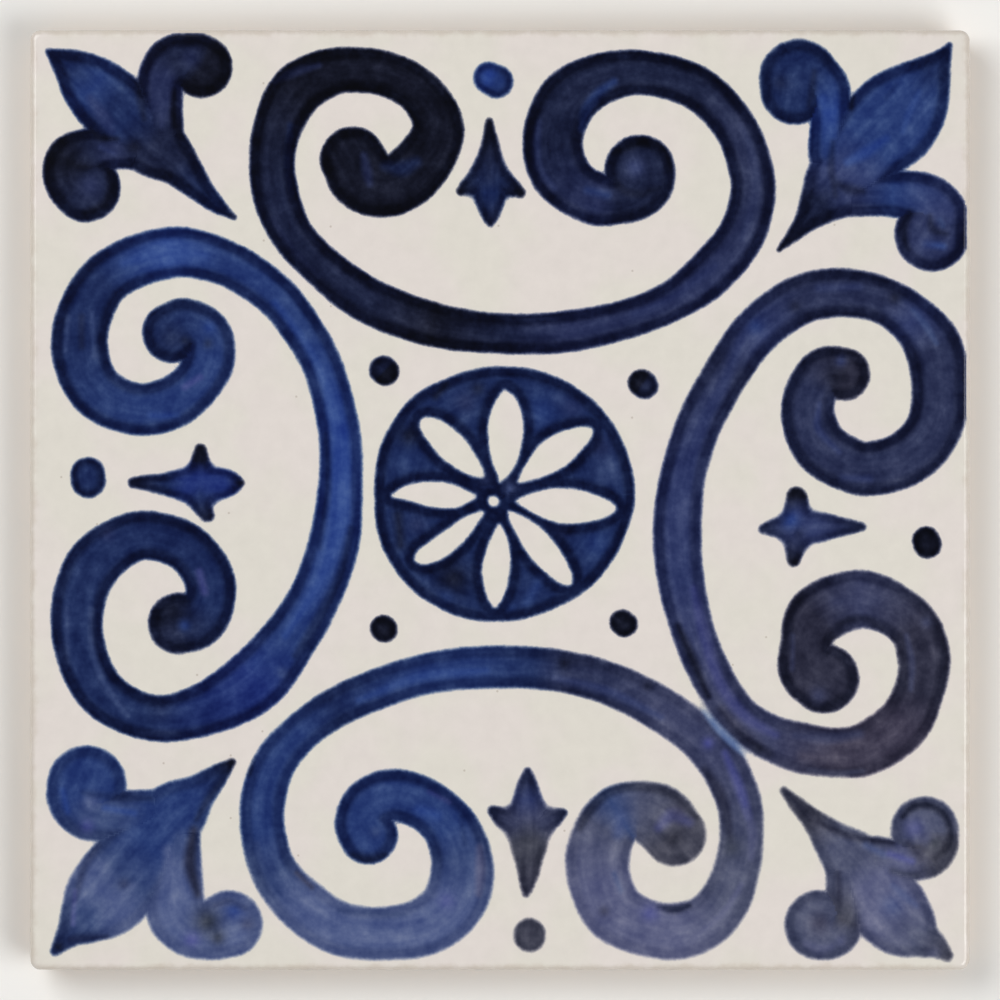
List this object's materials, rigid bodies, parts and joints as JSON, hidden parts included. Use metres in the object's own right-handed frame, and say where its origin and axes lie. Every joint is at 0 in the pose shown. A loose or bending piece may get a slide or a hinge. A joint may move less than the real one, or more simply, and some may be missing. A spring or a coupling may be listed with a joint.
{
  "type": "azulejo tile",
  "caption": "Square hand-painted wall tile of glazed earthenware, with a rounded face edge, undercut sides for tight joints and a waffle back that keys into mortar.",
  "frame": {"origin": "middle of the back, in the plane of the ribs that the tile lies on", "axes": "+Z out of the glazed face, +Y to the top of the painted pattern, +X to its right"},
  "size_m": [0.14, 0.14, 0.008],
  "materials": {
    "tin_glaze": "glossy warm white tin glaze over a buff earthenware body, bare on the lower sides and the back",
    "cobalt_paint": "cobalt blue brushwork fired into the glaze, with darker outlines"
  },
  "bodies": {
    "root": {"tile": "tin_glaze"}
  },
  "joints": []
}
